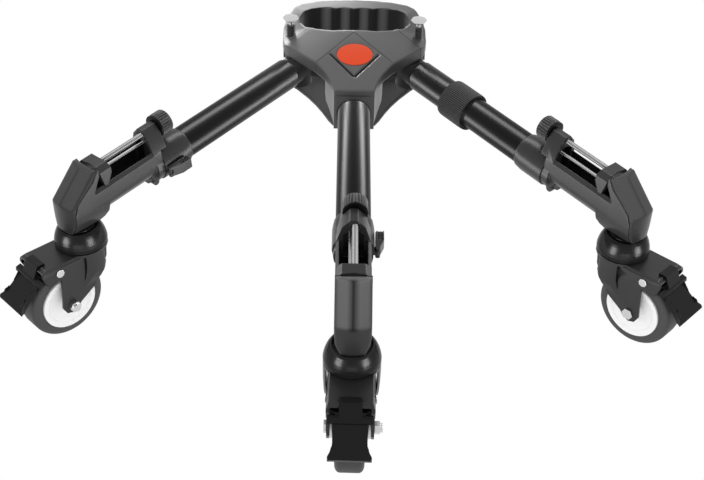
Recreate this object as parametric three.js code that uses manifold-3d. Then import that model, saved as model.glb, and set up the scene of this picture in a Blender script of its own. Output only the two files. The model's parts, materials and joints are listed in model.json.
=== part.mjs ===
// Tripod dolly: a hub with a carrying handle and three sloping telescopic legs. Each leg ends in a clamp for
// a tripod foot over a braked swivel caster. Millimetres, +Z up, the front leg points along -Y.
import * as THREE from 'three';
import { mergeVertices } from 'three/addons/utils/BufferGeometryUtils.js';
import Module from 'manifold-3d';

const wasm = await Module();
wasm.setup();

// Layout
const SPREAD = 40.2;            // degrees from the front leg to each side leg
const REACH_FRONT = 453.7;      // from the spread centre to the front caster's swivel axis
const REACH_SIDE = 388.9;
const SLOPE = 5.4;              // degrees that the rails drop towards the caster
const RAIL_HEIGHT = 118.8;      // tube axis over the floor, at the swivel axis
const SWIVEL_FRONT = -1;        // degrees that each caster is drawn turned
const SWIVEL_SIDE = 6;
const GAP = 0.3;                // between pieces that touch
const RUN = 0.05;               // radial play of a shaft in its bore
const ROUND = 20;               // sides of a large circle
const SMALL_ROUND = 8;          // sides of a small one

// Tubes
const TUBE_R = 15.8;
const TUBE_WALL = 1.8;
const TUBE_END = 96;            // outer end of the outer tube, inward from the swivel axis
const INNER_R = 13.6;
const INNER_WALL = 1.8;
const INNER_LENGTH = 150;
const COLLAR_FACE = 94.2;       // where collar and carrier meet

// Clamp collar and lever
const COLLAR_R = 18.75;
const COLLAR_LENGTH = 36;
const COLLAR_SHOULDER = 9;
const COLLAR_LIP = 1.6;
const LEVER_PIVOT_T = 96;
const LEVER_PIVOT_W = 21.3;
const LEVER_LOW = -8;
const LEVER_HIGH = 2.5;
const LEVER_PIN_R = 1.5;
const LEVER_OUTLINE = [[94.1, 20.2], [95, 19.3], [97, 19.1], [116, 19.3], [118, 20.4], [118, 27], [106.6, 27],
  [101, 24.9], [97.4, 23.5], [95.2, 23.4], [94, 22.4]];
const PAD_GROOVES = 4;
const PAD_GROOVE = 0.9;
const LUG_PLAN = [[94.4, 16.4], [93.6, 21], [94.4, 22.4], [96, 22.9], [97.8, 22.3], [101.4, 18.2],
  [101.4, 16.4]];
const LEVER_SLOT = [[93, 15], [93, 24], [96.2, 24], [98.4, 22.8], [102.4, 18.2], [102.4, 15]];
const LUG_THICK = 4;            // of the lever's lug on the collar

// Carrier
const CARRIER_HALF = 15.2;
const CHANNEL_CENTRE = 5.6;     // height of the round floor's centre over the tube axis
const CHANNEL_WALL = 3;
const RAIL_TOP = 21.7;
const RAIL_SHOULDER = 18.1;
const RAIL_TOP_HALF = 13;
const CHANNEL_START = 6;
const FLANGE_R = 17.4;
const FLANGE_LENGTH = 7.8;
const PLUG_R = 11.5;
const PLUG_LENGTH = 34;
const TOWER_FACE = 84.8;
const TOWER_BACK = 101;
const TOWER_TOP = 42.8;
const TOWER_TOP_HALF = 3.2;
const TOWER_SHOULDER = 35.4;
const TOWER_SHOULDER_HALF = 10;
const TOWER_FOOT = 20.2;
const WINDOW_HALF = 9;
const WINDOW_LOW = 2;
const WINDOW_HIGH = 31;
const WINDOW_DEPTH = 7;
const LUGS = [[80.5, -10.6, 3.4], [88.4, -17.6, 3.6]];
const LUG_HALF = 7;

// Swivel housing and its cover, as outward distance from the swivel axis and height over the floor
const HEAD_FLOOR = 106.5;
const HEAD_CORE = [[-20.8, 160.3], [-17, 161.9], [-11.2, 152.4], [-0.8, 143.7], [8.2, 136.5], [12, 126.4],
  [12.8, HEAD_FLOOR], [-17, HEAD_FLOOR], [-22, 108.6], [-25.6, 113], [-27, 122], [-12, 122], [-11.3, 141]];
const COVER_TOP = [-8.3, 162.6];
const COVER_SIDE_TOP = [-13.2, 161.9];
const COVER_NOSE = 18;
const COVER_BEND = 135.6;
const COVER_HALF = 14.9;
const COVER_NOSE_PLAN = [[14.3, 14.9], [16.4, 9.5], [17.8, 3.4]];
const HEAD_FRONT = [[15.2, 170], [15.2, 124], [14, 115], [10.6, HEAD_FLOOR]];
const POCKET_APEX = -14;
const POCKET_EDGE = -18.2;

// Jaw, guide rod and clamp screw
const SCREW_HEIGHT = 37;
const SCREW_OFFSET = 1;
const SCREW_R = 2.7;
const SCREW_TIP = 33;
const JAW_OUTLINE = [[22.6, 38], [23, 41.2], [35.2, 41.2], [36, 38], [36, 31], [29.5, 19.5], [26.4, 19.5]];
const JAW_SECTION = [[14.6, 18], [14.6, 36.6], [9.6, 41.2]];
const JAW_HOLLOW_R = 28;
const JAW_CENTRE = 24.3;
const JAW_ARCH_HALF = 9;
const JAW_ARCH_TOP = 24;
const JAW_TONGUE_HALF = 6.5;
const JAW_TONGUE_LOW = 4;
const GUIDE_R = 1.6;
const GUIDE_OFFSET = -3;
const GUIDE_HEIGHT = 25.4;
const GUIDE_END = 97;
const WASHER_R = 11.2;
const WASHER_LENGTH = 2.4;
const KNOB_R = 11.4;
const KNOB_LENGTH = 12.6;
const KNOB_RIBS = 18;
const KNOB_RIB = 0.8;

// Caster
const WHEEL_R = 37.5;
const TRAIL = 28.4;
const TYRE_PROFILE = [[27.7, 12.5], [31.5, 12.5], [35.2, 11.2], [37, 8.4], [WHEEL_R, 4.6]];
const RIM_R = 27.4;
const RIM_HALF = 14.2;
const RECESS_R = 22.4;
const RECESS = 1.2;
const WHEEL_BOSS_R = 9.5;
const WHEEL_BOSS_HALF = 17;
const AXLE_R = 4;
const AXLE_HEX = 5.8;
const AXLE_HEAD = 2.2;
const AXLE_NUT = 4.6;
const AXLE_TIP = 2.2;
const FORK_TOP = 86.4;
const SHEET = 2.5;
const FORK_R = 24.2;
const FORK_FLARE = [[24.2, FORK_TOP], [24.2, 77], [23.8, 67], [22.6, 58], [19.8, 50], [19.8, 27]];
const FORK_HALF = 19.8;
const FORK_OUTLINE = [[-13.8, 84], [-12.9, 74.6], [-8.3, 65.3], [-1.5, 55.9], [2.5, 47.5], [19.5, 36.6],
  [23.4, 31.8],
  [29.4, 29], [35.6, 31], [38.8, 37.1], [36.6, 60], [35.4, 84]];
const ARM_SIDE = [[17.8, FORK_TOP], [FORK_HALF, 82.6], [FORK_HALF, 66]];
const ARM_OUTLINE = [[8, 90], [46.6, 90], [49.6, 86], [53.4, 84.6], [54, 79.4], [50, 69.4], [35, 70.5],
  [8, 76]];
const KING_PIN_R = 6;
const KING_PIN_FOOT = 80;
const KING_PIN_TOP = 126;
const RIVET_R = 9;
const CAP_PROFILE = [[23.2, 86.8], [24.3, 88.6], [24, 93], [22.6, 98.4], [20.6, 102.6],
  [18.6, 105.2],
  [17, 105.8], [16.4, 103.4], [14, 103.4], [14, 106.1]];
const BRAKE_U = 36.7;
const BRAKE_Z = 78.7;
const BRAKE_PIN_R = 2.4;
const BRAKE_RIVET_R = 4.2;
const BRAKE_RIVET = 0.9;
const PEDAL_ARM_HALF = 16.8;
const PEDAL_ARM = 3;
const PEDAL_ARM_OUTLINE = [[32.6, 75.6], [33, 81.6], [40, 82.4], [50, 81.4], [57, 77.4], [66.6, 67.4],
  [75.5, 61.6],
  [78.5, 54], [74.5, 50.6], [66, 57.6], [52, 71], [44, 74]];
const PEDAL_SECTION = [[33, 76.6], [33, 82.6], [40, 82.8], [53.5, 79], [59, 72.6], [81.4, 54.6], [79.8, 51],
  [74.5, 50.6], [54, 70.8], [44, 75.6]];
const PEDAL_PLAN = [[32, 16.4], [41, 16.4], [52.6, 16.4], [54, 12], [58.2, 12], [59.4, 15], [63, 14.4],
  [68, 13.9],
  [73, 14.2], [76.8, 16], [79.4, 17.8], [80.6, 17.4], [82, 15.8]];
const TAB_HALF = 9.3;
const TAB_OUTLINE = [[44.6, 86.9], [45.4, 88.8], [52.6, 88.8], [59.2, 74.4], [57, 71.8], [50, 76],
  [48.8, 86.9]];
const BAR_HALF = 18.6;
const BAR_OUTLINE = [[54.5, 74.2], [54.5, 77.8], [59.4, 76.4], [60, 72.8]];

// Hub, over the spread centre
const HUB_FRONT = -164;
const TOP_OUTLINE = [[19.5, HUB_FRONT], [23, -149], [29, -135], [38.5, -119.5], [67, -87.5], [71.6, -81],
  [74.2, -66], [74.6, -40], [72.4, -24], [66, -7], [56.6, 4.6], [40, 12], [20, 15.8], [0, 17]];
const TOP_PLATE_FLOOR = 167.6;
const HANDLE_FLOOR = 151;
const HANDLE_START = -58;
const FRONT_FACET = { at: [0, HUB_FRONT, 173.8], rise: [0, 0.1317] };
const SIDE_FACET = { at: [0, -67, 186.6], rise: [-0.084, 0.0699] };
const PIN_FACET = { at: [67.5, -87.5, 179.5], rise: [-0.274, -0.0616] };
const REAR_FACET = { at: [0, -67, 186.8], rise: [0, -0.055] };
const CORNER_Y = -50;           // where the handle's corners start to rise again
const CORNER_RISE = 0.11;
const SKIN = 3.4;
const HUB_CEILING = REAR_FACET.at[2] + 4 * SKIN;
const HOLE_OUTLINE = [[0, -62], [24, -60.6], [40, -56], [51, -48], [57.4, -37], [57.6, -27], [53, -15.5],
  [46, -8.6]];
const SCALLOP_HALF = 40;
const SCALLOPS = 4;
const SCALLOP_DEPTH = 2.4;
const GRIP_INSIDE = -5.4;
const GROOVE_SIDE = [24, -105];
const GROOVE_TIP = [0, -142.5];
const GROOVE_HALF = 1.5;
const GROOVE_DEPTH = 1.2;
const BADGE_R = 18;
const BADGE_THICK = 1.8;
const BADGE_RAISED = 0.5;
const BADGE_Y = -105.2;
const BASE_FLOOR = 125.5;
const BASE_PLATE = 3.9;
const BASE_OUTLINE = [[21, -151], [25.7, -142.5], [32.1, -127], [38.6, -113.4], [47.3, -98.3],
  [59.5, -80.5], [69, -68], [72.5, -54], [66, -42], [52, -35], [0, -33]];
const BLOCK_OUTLINE = [[19.8, -163.2], [20.6, -150], [24, -130], [28.6, -108], [29.6, -92], [26, -80],
  [16, -75], [0, -74]];
const STOP_WALL = 4;
const SOCKET_END = 109.7;       // from the spread centre to the front tube's inner end
const PIVOT_REACH = 90;            // from the spread centre along the side leg
const PIVOT_R = 4;
const PIVOT_HEAD_R = 6.4;
const PIVOT_HEAD = 2.8;
const PIVOT_TOP = 174;
const ROOT_R = 14;
const NECK_R = 14.5;
const ROOT_FLOOR = 129.6;
const ROOT_TOP = 166.6;
const ROOT_END = 104.4;
const ROOT_LIP = 1.9;           // from a side tube's end to the root's neck
const ROOT_SPIGOT = 30;
const SWEEP_R = 18.9;
const LEG_SWEEP_HALF = 16.9;
const PIN_X = 66;
const PIN_Y = -60;
const PIN_STEM_R = 2.4;
const PIN_LOBE_R = 6;
const PIN_DEPTH = 8.1;          // of the pull pin in the leg root
const PIN_RISE = 9.4;           // of its top over the collar's
const PIN_HEAD_R = 8.25;
const PIN_HEAD_RIM = 1.7;
const PIN_HEAD_CONE = 4;
const PIN_COLLAR_R = 4.7;
const PIN_COLLAR_RISE = 12.8;   // over the hub's face
const PIN_COLLAR_SUNK = 7.2;
const PIN_COLLAR_RINGS = 3;
const PIN_COLLAR_RING = 0.6;

// Strap
const STRAP_MIDDLE = 220;
const STRAP_WIDTH = 32;
const STRAP_THICK = 1.2;
const STRAP_TURNS = 2;
const STRAP_STEPS = 28;         // per turn
const STRAP_START = 200;        // degrees

const rad = THREE.MathUtils.degToRad;

// Closed solids from three.js geometry

function solid(geometry) {
  geometry.deleteAttribute('normal');
  geometry.deleteAttribute('uv');
  const merged = mergeVertices(geometry, 1e-4);
  const vertProperties = new Float32Array(merged.attributes.position.array);
  const index = merged.index.array;
  const corners = [];
  let volume = 0;
  const at = (i) => new THREE.Vector3().fromArray(vertProperties, i * 3);
  for (let i = 0; i < index.length; i += 3) {
    const [a, b, c] = [index[i], index[i + 1], index[i + 2]];
    if (a === b || b === c || c === a) continue;
    corners.push([a, b, c]);
    volume += at(a).dot(at(b).cross(at(c)));
  }
  const wound = volume > 0 ? corners : corners.map(([a, b, c]) => [a, c, b]);
  const triVerts = new Uint32Array(wound.flat());
  return new wasm.Manifold(new wasm.Mesh({ numProp: 3, vertProperties, triVerts }));
}

function toGeometry(manifold) {
  const mesh = manifold.getMesh();
  const geometry = new THREE.BufferGeometry();
  geometry.setAttribute('position', new THREE.BufferAttribute(new Float32Array(mesh.vertProperties), 3));
  geometry.setIndex(new THREE.BufferAttribute(new Uint32Array(mesh.triVerts), 1));
  geometry.computeVertexNormals();
  return geometry;
}

const BASES = {
  x: [[0, 1, 0], [0, 0, 1], [1, 0, 0]],
  y: [[1, 0, 0], [0, 0, 1], [0, -1, 0]],
  z: [[1, 0, 0], [0, 1, 0], [0, 0, 1]],
};

// A prism along one axis: points are (y, z) along x, (x, z) along y and (x, y) along z
function prism(points, axis, from, to) {
  const shape = new THREE.Shape(points.map(([a, b]) => new THREE.Vector2(a, b)));
  const geometry = new THREE.ExtrudeGeometry(shape, { depth: to - from, bevelEnabled: false });
  const [a, b, c] = BASES[axis].map((v) => new THREE.Vector3(...v));
  geometry.applyMatrix4(new THREE.Matrix4().makeBasis(a, b, c));
  const shift = { x: [from, 0, 0], y: [0, to, 0], z: [0, 0, from] }[axis];
  geometry.translate(...shift);
  return solid(geometry);
}

function circle(radius, sides, [a, b] = [0, 0]) {
  const points = [];
  for (let i = 0; i < sides; i += 1) {
    const angle = (2 * Math.PI * i) / sides;
    points.push([a + radius * Math.cos(angle), b + radius * Math.sin(angle)]);
  }
  return points;
}

function cylinder(radius, axis, from, to, centre = [0, 0], sides = ROUND) {
  return prism(circle(radius, sides, centre), axis, from, to);
}

function box(x, y, z) {
  return prism([[x[0], y[0]], [x[1], y[0]], [x[1], y[1]], [x[0], y[1]]], 'z', z[0], z[1]);
}

// A ring or disc turned about Z, from a closed profile of (radius, height)
function turned(profile, sides = ROUND) {
  const closed = [...profile, profile[0]].map(([r, z]) => new THREE.Vector2(r, z));
  const geometry = new THREE.LatheGeometry(closed, sides);
  geometry.rotateX(Math.PI / 2);
  return solid(geometry);
}

// Both halves of an outline that is given for positive first coordinates
function mirrored(half) {
  const other = half.filter(([a]) => a > 0).map(([a, b]) => [-a, b]).reverse();
  return [...half, ...other];
}

// Both halves of a plan that is given as (distance, half width)
function widthPlan(rows) {
  return [...rows, ...rows.map(([u, w]) => [u, -w]).reverse()];
}

// The radius of a faceted bore that a turning shaft clears
function boreRadius(shaft, sides = SMALL_ROUND) {
  return (shaft + RUN) / Math.cos(Math.PI / sides);
}

const unite = (...pieces) => wasm.Manifold.union(pieces);
const cut = (piece, ...tools) => wasm.Manifold.difference([piece, ...tools]);
const common = (...pieces) => wasm.Manifold.intersection(pieces);
const inward = (points) => points.map(([t, h]) => [-t, h]);

function moved(piece, matrix) {
  return piece.transform(matrix.elements);
}

// Everything under a sloping facet
function under(facet, mirror = 1, lower = 0) {
  const [x, y, z] = facet.at;
  const normal = new THREE.Vector3(-facet.rise[0] * mirror, -facet.rise[1], 1).normalize();
  const point = new THREE.Vector3(x * mirror, y, z - lower);
  return (piece) => piece.trimByPlane([-normal.x, -normal.y, -normal.z], -normal.dot(point));
}

// Places along a leg: a leg's own frame has +X outward, +Y to the left and the floor at 0

function legMatrix(leg) {
  const matrix = new THREE.Matrix4().makeRotationZ(rad(leg.angle - 90));
  const out = new THREE.Vector3(leg.reach, 0, 0).applyMatrix4(matrix);
  return matrix.setPosition(out);
}

function railMatrix(leg) {
  const tilt = new THREE.Matrix4().makeRotationY(rad(SLOPE)).setPosition(0, 0, RAIL_HEIGHT);
  return legMatrix(leg).multiply(tilt);
}

function casterMatrix(leg) {
  return legMatrix(leg).multiply(new THREE.Matrix4().makeRotationZ(rad(leg.swivel)));
}

// Tubes, collar and lever, in the rail frame

function tube(radius, wall, from, to) {
  return cut(cylinder(radius, 'x', -to, -from), cylinder(radius - wall, 'x', -to - GAP, -from + GAP));
}

function collar() {
  const end = COLLAR_FACE + COLLAR_LENGTH;
  const bore = TUBE_R + GAP;
  const lip = INNER_R + GAP;
  const profile = [[lip, COLLAR_FACE], [COLLAR_R - GAP, COLLAR_FACE], [COLLAR_R, COLLAR_FACE + COLLAR_LIP],
    [COLLAR_R, end - COLLAR_SHOULDER], [(COLLAR_R + bore) / 2 + GAP, end - COLLAR_LIP], [bore + GAP, end],
      [bore, end],
    [bore, COLLAR_FACE + COLLAR_LIP], [lip, COLLAR_FACE + COLLAR_LIP]];
  const ring = moved(turned(profile), new THREE.Matrix4().makeRotationY(-Math.PI / 2));
  const middle = (LEVER_LOW + LEVER_HIGH) / 2;
  const lug = prism(inward(LUG_PLAN), 'z', middle - LUG_THICK / 2, middle + LUG_THICK / 2);
  const bores = cylinder(boreRadius(LEVER_PIN_R), 'z', LEVER_LOW - COLLAR_R, COLLAR_R,
    [-LEVER_PIVOT_T, LEVER_PIVOT_W], SMALL_ROUND);
  const through = cylinder(bore, 'x', -end, -COLLAR_FACE - COLLAR_LIP);
  return cut(unite(ring, lug), bores, through);
}

function lever() {
  const body = prism(inward(LEVER_OUTLINE), 'z', LEVER_LOW, LEVER_HIGH);
  const middle = (LEVER_LOW + LEVER_HIGH) / 2;
  const half = LUG_THICK / 2 + GAP;
  const slot = prism(inward(LEVER_SLOT), 'z', middle - half, middle + half);
  const pin = cylinder(LEVER_PIN_R, 'z', middle - half - GAP, middle + half + GAP,
    [-LEVER_PIVOT_T, LEVER_PIVOT_W], SMALL_ROUND);
  const grooves = [];
  const [inner, outer] = [LEVER_OUTLINE[4][1], LEVER_OUTLINE[5][1]];
  for (let i = 0; i < PAD_GROOVES; i += 1) {
    const w = inner + ((outer - inner) * (i + 1)) / (PAD_GROOVES + 1);
    grooves.push(box([-LEVER_OUTLINE[4][0] - GAP, -LEVER_OUTLINE[6][0]],
      [w - PAD_GROOVE / 2, w + PAD_GROOVE / 2],
      [LEVER_HIGH - PAD_GROOVE, LEVER_HIGH + GAP]));
  }
  return unite(cut(body, slot, ...grooves), pin);
}

// Carrier, cover, jaw and clamp screw

function channelSection(grow = 0) {
  const half = CARRIER_HALF + grow;
  const outside = [[half, RAIL_SHOULDER], [half, CHANNEL_CENTRE]];
  const steps = ROUND / 2;
  for (let i = 1; i < steps; i += 1) {
    const angle = (-Math.PI * i) / steps;
    outside.push([half * Math.cos(angle), CHANNEL_CENTRE + half * Math.sin(angle)]);
  }
  outside.push([-half, CHANNEL_CENTRE], [-half, RAIL_SHOULDER + grow]);
  outside[0][1] += grow;
  const inner = CARRIER_HALF - CHANNEL_WALL - grow;
  const inside = [[-RAIL_TOP_HALF - grow / 2, RAIL_TOP + grow], [-inner, RAIL_TOP + grow],
    [-inner, CHANNEL_CENTRE]];
  for (let i = 1; i < steps; i += 1) {
    const angle = -Math.PI + (Math.PI * i) / steps;
    inside.push([inner * Math.cos(angle), CHANNEL_CENTRE + inner * Math.sin(angle)]);
  }
  inside.push([inner, CHANNEL_CENTRE], [inner, RAIL_TOP + grow], [RAIL_TOP_HALF + grow / 2, RAIL_TOP + grow]);
  return [...outside, ...inside];
}

function tower() {
  const upper = mirrored([[CARRIER_HALF, RAIL_SHOULDER], [TOWER_SHOULDER_HALF, TOWER_SHOULDER],
    [TOWER_TOP_HALF, TOWER_TOP]]);
  const whole = prism(upper, 'x', -TOWER_BACK, -TOWER_FACE);
  const clear = box([-TOWER_BACK - GAP, -COLLAR_FACE + GAP], [-FLANGE_R, FLANGE_R], [0, TOWER_FOOT]);
  const foot = prism(mirrored([[CARRIER_HALF, 0], [CARRIER_HALF, RAIL_SHOULDER]]), 'x', -COLLAR_FACE
    + GAP, -TOWER_FACE);
  const flange = cylinder(FLANGE_R, 'x', -COLLAR_FACE + GAP, -COLLAR_FACE + GAP + FLANGE_LENGTH);
  return unite(cut(whole, clear), foot, flange);
}

function towerCuts() {
  const window = prism([[WINDOW_HALF, WINDOW_LOW], [WINDOW_HALF, WINDOW_HIGH - WINDOW_HALF / 2],
    [WINDOW_HALF / 2, WINDOW_HIGH], [-WINDOW_HALF / 2, WINDOW_HIGH],
      [-WINDOW_HALF, WINDOW_HIGH - WINDOW_HALF / 2],
    [-WINDOW_HALF, WINDOW_LOW]], 'x', -TOWER_FACE - WINDOW_DEPTH, -TOWER_FACE + GAP);
  const screw = cylinder(SCREW_R + GAP, 'x', -TOWER_BACK - GAP, -TOWER_FACE
    + GAP, [SCREW_OFFSET, SCREW_HEIGHT], SMALL_ROUND);
  const guide = cylinder(GUIDE_R + GAP, 'x', -TOWER_BACK - GAP, -TOWER_FACE, [GUIDE_OFFSET, GUIDE_HEIGHT],
    SMALL_ROUND);
  return [window, screw, guide];
}

function headCore(grow = 0) {
  const outline = HEAD_CORE.map(([u, z], i) => (i > 0 && i < 7 ? [u + grow, z + (i < 6 ? grow / 2 : -grow)]
    : [u, z]));
  const side = prism(outline, 'y', -CARRIER_HALF - grow, CARRIER_HALF + grow);
  return grow > 0 ? side : common(side, prism(mirrored(HEAD_FRONT), 'x', -REACH_SIDE, REACH_SIDE));
}

function pocketNotch() {
  const plan = [[POCKET_EDGE, CARRIER_HALF], [POCKET_APEX, 0], [POCKET_EDGE, -CARRIER_HALF],
    [2 * POCKET_EDGE, -CARRIER_HALF], [2 * POCKET_EDGE, CARRIER_HALF]];
  return prism(plan, 'z', HEAD_CORE[12][1], HUB_CEILING);
}

function carrier(leg) {
  const tilt = new THREE.Matrix4().makeRotationY(rad(SLOPE)).setPosition(0, 0, RAIL_HEIGHT);
  const channel = prism(channelSection(), 'x', -COLLAR_FACE + GAP, -CHANNEL_START);
  const plug = cylinder(PLUG_R, 'x', -COLLAR_FACE - PLUG_LENGTH, -COLLAR_FACE + GAP);
  const lugs = LUGS.map(([t, h, r]) => cylinder(r, 'y', -LUG_HALF, LUG_HALF, [-t, h], SMALL_ROUND));
  const rail = cut(unite(channel, tower(), plug, ...lugs), ...towerCuts());
  const beyond = box([HEAD_CORE[0][0] / 2, REACH_SIDE], [-REACH_SIDE, REACH_SIDE], [0, 2 * REACH_SIDE]);
  const head = cut(headCore(), pocketNotch());
  const king = cylinder(KING_PIN_R + GAP, 'z', 0, KING_PIN_TOP + GAP);
  const whole = cut(unite(cut(moved(rail, tilt), beyond), head), king);
  return moved(whole, legMatrix(leg));
}

function headCover(leg) {
  const [topU, topZ] = COVER_TOP;
  const outline = [[HEAD_CORE[1][0], HEAD_CORE[1][1]], [topU, topZ], [COVER_NOSE, COVER_BEND],
    [COVER_NOSE, HEAD_FLOOR],
    [HEAD_CORE[6][0] - 2 * CHANNEL_WALL, HEAD_FLOOR], [HEAD_CORE[4][0] - CHANNEL_WALL,
      HEAD_CORE[4][1] - CHANNEL_WALL],
    [HEAD_CORE[3][0] - CHANNEL_WALL, HEAD_CORE[3][1] - CHANNEL_WALL]];
  const nose = [[-REACH_SIDE, COVER_HALF], ...COVER_NOSE_PLAN,
    ...COVER_NOSE_PLAN.map(([u, w]) => [u, -w]).reverse(),
    [-REACH_SIDE, -COVER_HALF]];
  let shell = common(prism(outline, 'y', -COVER_HALF, COVER_HALF), prism(nose, 'z', 0, HUB_CEILING),
    prism(mirrored(HEAD_FRONT), 'x', -REACH_SIDE, REACH_SIDE));
  for (const sign of [1, -1]) {
    const top = new THREE.Vector3(topU, 0, topZ);
    const bend = new THREE.Vector3(COVER_NOSE, 0, COVER_BEND).sub(top);
    const side = new THREE.Vector3(COVER_SIDE_TOP[0], sign * COVER_HALF, COVER_SIDE_TOP[1]).sub(top);
    const normal = bend.cross(side).multiplyScalar(sign).normalize();
    if (normal.x < 0) normal.negate();
    shell = shell.trimByPlane([-normal.x, -normal.y, -normal.z], -normal.dot(top));
  }
  return moved(cut(shell, headCore(GAP)), legMatrix(leg));
}

function jaw() {
  const half = prism(mirrored(JAW_SECTION), 'x', -HUB_CEILING, 0);
  const body = common(half, prism(inward(JAW_OUTLINE), 'y', -CARRIER_HALF, CARRIER_HALF));
  const arch = box([-HUB_CEILING, 0], [-JAW_ARCH_HALF, JAW_ARCH_HALF], [0, JAW_ARCH_TOP]);
  const hollow = cylinder(JAW_HOLLOW_R, 'z', 0, HUB_CEILING, [-JAW_CENTRE + JAW_HOLLOW_R, 0]);
  const tongue = box([-JAW_OUTLINE[4][0], -JAW_OUTLINE[5][0]], [-JAW_TONGUE_HALF, JAW_TONGUE_HALF],
    [JAW_TONGUE_LOW, JAW_ARCH_TOP + GAP]);
  const rails = prism(channelSection(GAP), 'x', -HUB_CEILING, 0);
  const socket = cylinder(SCREW_R + GAP, 'x', -HUB_CEILING, -SCREW_TIP
    + GAP, [SCREW_OFFSET, SCREW_HEIGHT], SMALL_ROUND);
  const guide = cylinder(GUIDE_R + RUN, 'x', -HUB_CEILING, -JAW_OUTLINE[5][0] - GAP,
    [GUIDE_OFFSET, GUIDE_HEIGHT], SMALL_ROUND);
  return cut(unite(cut(body, arch, hollow), tongue), rails, socket, guide);
}

function guideRod() {
  return cylinder(GUIDE_R, 'x', -GUIDE_END, -JAW_OUTLINE[5][0] - 2 * GAP, [GUIDE_OFFSET, GUIDE_HEIGHT],
    SMALL_ROUND);
}

function clampScrew() {
  const centre = [SCREW_OFFSET, SCREW_HEIGHT];
  const washer = TOWER_BACK + GAP;
  const knob = washer + WASHER_LENGTH;
  const ribs = circle(KNOB_R, 2 * KNOB_RIBS).map(([y, z], i) => {
    const share = i % 2 ? 1 : 1 - KNOB_RIB / KNOB_R;
    return [y * share + SCREW_OFFSET, z * share + SCREW_HEIGHT];
  });
  return unite(
    cylinder(SCREW_R, 'x', -knob - GAP, -SCREW_TIP, centre, SMALL_ROUND),
    cylinder(WASHER_R, 'x', -knob, -washer, centre, ROUND),
    prism(ribs, 'x', -knob - KNOB_LENGTH, -knob + GAP),
  );
}

// Caster pieces, in the caster's frame

function swivelCap() {
  const [low, high] = [KING_PIN_FOOT, KING_PIN_TOP];
  const stem = [[0, high], [0, low], [RIVET_R, low], [RIVET_R, FORK_TOP - SHEET - GAP],
    [KING_PIN_R, FORK_TOP - SHEET - GAP],
    [KING_PIN_R, FORK_TOP + GAP]];
  return turned([...stem, ...CAP_PROFILE, [KING_PIN_R, CAP_PROFILE[9][1]], [KING_PIN_R, high]]);
}

function sheetShell(side, outline, from, to) {
  const thinner = side.map(([w, z], i) => [w - SHEET, i ? z : z - SHEET]);
  const low = side[side.length - 1][1];
  thinner[side.length - 1][1] = low - GAP;
  const shell = cut(prism(mirrored(side), 'x', from, to), prism(mirrored(thinner), 'x', from - GAP, to
    + GAP));
  return common(shell, prism(outline, 'y', -FORK_R - GAP, FORK_R + GAP));
}

function fork() {
  const disc = cylinder(FORK_R, 'z', FORK_TOP - SHEET, FORK_TOP);
  const plates = [1, -1].map((sign) => {
    const faces = [sign * FORK_HALF, sign * (FORK_HALF - SHEET)].sort((a, b) => a - b);
    return prism(FORK_OUTLINE, 'y', ...faces);
  });
  const flare = common(sheetShell(FORK_FLARE, FORK_OUTLINE, -FORK_R, FORK_R),
    cylinder(FORK_R, 'z', 0, FORK_TOP));
  const arm = sheetShell(ARM_SIDE, ARM_OUTLINE, ARM_OUTLINE[0][0], ARM_OUTLINE[4][0] + GAP);
  const kingHole = cylinder(KING_PIN_R + RUN, 'z', 0, HUB_CEILING);
  const axleHole = cylinder(AXLE_R + GAP, 'y', -FORK_R, FORK_R, [TRAIL, WHEEL_R], SMALL_ROUND);
  const brakeHole = cylinder(BRAKE_PIN_R + GAP, 'y', -FORK_R, FORK_R, [BRAKE_U, BRAKE_Z], SMALL_ROUND);
  const tabSlot = box([TAB_OUTLINE[0][0] - GAP, REACH_SIDE], [-TAB_HALF - GAP, TAB_HALF + GAP],
    [BRAKE_Z, HUB_CEILING]);
  return cut(unite(disc, ...plates, flare, arm), kingHole, axleHole, brakeHole, tabSlot);
}

function axleBolt() {
  const centre = [TRAIL, WHEEL_R];
  const face = FORK_HALF + GAP;
  return unite(
    cylinder(AXLE_R, 'y', -face - GAP, face + AXLE_NUT + AXLE_TIP, centre, SMALL_ROUND),
    cylinder(AXLE_HEX, 'y', -face - AXLE_HEAD, -face, centre, 6),
    cylinder(AXLE_HEX, 'y', face, face + AXLE_NUT, centre, 6),
  );
}

function onAxle(piece) {
  const matrix = new THREE.Matrix4().makeRotationX(Math.PI / 2).setPosition(TRAIL, 0, WHEEL_R);
  return moved(piece, matrix);
}

function wheelCore() {
  const half = [[RIM_R, RIM_HALF], [RECESS_R, RIM_HALF], [RECESS_R, RIM_HALF - RECESS],
    [WHEEL_BOSS_R, RIM_HALF - RECESS],
    [WHEEL_BOSS_R, WHEEL_BOSS_HALF], [AXLE_R + 2 * RUN, WHEEL_BOSS_HALF]];
  return onAxle(turned([...half, ...half.map(([r, z]) => [r, -z]).reverse()]));
}

function tyre() {
  const half = TYRE_PROFILE;
  return onAxle(turned([...half.slice().reverse(), ...half.map(([r, z]) => [r, -z])], ROUND + ROUND / 3));
}

function brakePin() {
  const centre = [BRAKE_U, BRAKE_Z];
  const face = FORK_HALF + GAP;
  return unite(
    cylinder(BRAKE_PIN_R, 'y', -face - GAP, face + GAP, centre, SMALL_ROUND),
    cylinder(BRAKE_RIVET_R, 'y', -face - BRAKE_RIVET, -face, centre, SMALL_ROUND),
    cylinder(BRAKE_RIVET_R, 'y', face, face + BRAKE_RIVET, centre, SMALL_ROUND),
  );
}

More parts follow.
